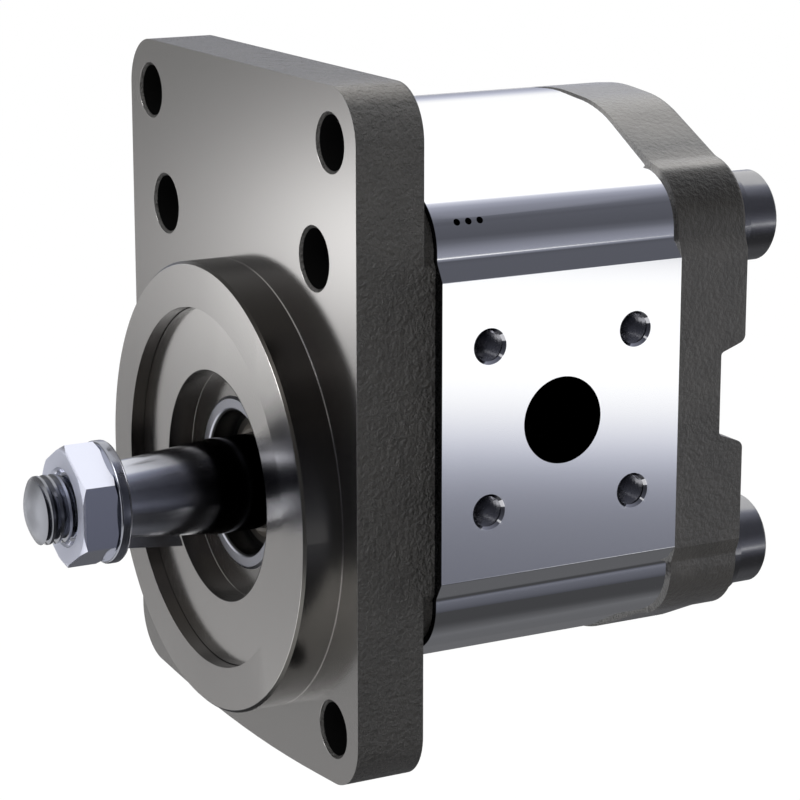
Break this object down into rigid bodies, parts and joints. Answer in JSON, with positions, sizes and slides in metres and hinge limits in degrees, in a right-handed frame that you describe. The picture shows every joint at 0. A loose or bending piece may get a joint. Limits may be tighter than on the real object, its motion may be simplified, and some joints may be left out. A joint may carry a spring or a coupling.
{
  "type": "hydraulic gear pump",
  "caption": "External gear pump with a rectangular mounting flange, round spigot, tapered keyed drive shaft with nut, aluminium body with side ports and a cast rear cover.",
  "frame": {"origin": "on the drive shaft's axis, in the plane of the flange's mounting face, at the root of the spigot", "axes": "-Y along the drive shaft towards its tip, +Y towards the rear cover, +X towards the pressure port, +Z towards the driven gear"},
  "size_m": [0.0946, 0.1274, 0.1207],
  "materials": {
    "cast_cover": "rough casting, machined front face",
    "body_alloy": "brushed extrusion",
    "gear_steel": "ground",
    "plated_steel": "zinc plated",
    "bolt_steel": "satin",
    "block_alloy": "machined",
    "bush_metal": "satin",
    "seal_rubber": "matte",
    "backup_plastic": "matte",
    "seal_case_steel": "bright"
  },
  "bodies": {
    "housing": {"front_cover": "cast_cover", "pump_body": "body_alloy", "rear_cover": "cast_cover", "front_bearing_block": "block_alloy", "rear_bearing_block": "block_alloy", "drive_front_bush": "bush_metal", "drive_rear_bush": "bush_metal", "driven_front_bush": "bush_metal", "driven_rear_bush": "bush_metal", "front_axial_seal": "seal_rubber", "rear_axial_seal": "seal_rubber", "front_backup_strips": "backup_plastic", "rear_backup_strips": "backup_plastic", "front_body_seal": "seal_rubber", "rear_body_seal": "seal_rubber", "shaft_seal_case": "seal_case_steel", "shaft_seal_lip": "seal_rubber", "shaft_seal_spring": "seal_case_steel", "body_bolts": "bolt_steel", "bolt_washers": "plated_steel", "dowel_pins": "gear_steel"},
    "drive_rotor": {"drive_gear_shaft": "gear_steel", "shaft_key": "gear_steel", "lock_washer": "plated_steel", "shaft_nut": "plated_steel"},
    "driven_rotor": {"driven_gear_shaft": "gear_steel"}
  },
  "joints": [
    {"name": "drive_spin", "type": "hinge", "parent": "housing", "child": "drive_rotor", "pos_m": [0, 0, 0], "axis": [0, 1, 0], "continuous": true},
    {"name": "driven_spin", "type": "hinge", "parent": "housing", "child": "driven_rotor", "pos_m": [0, 0, 0.035], "axis": [0, 1, 0], "continuous": true}
  ],
  "couplings": [
    {"joint": "driven_spin", "follows": "drive_spin", "ratio": -1}
  ]
}
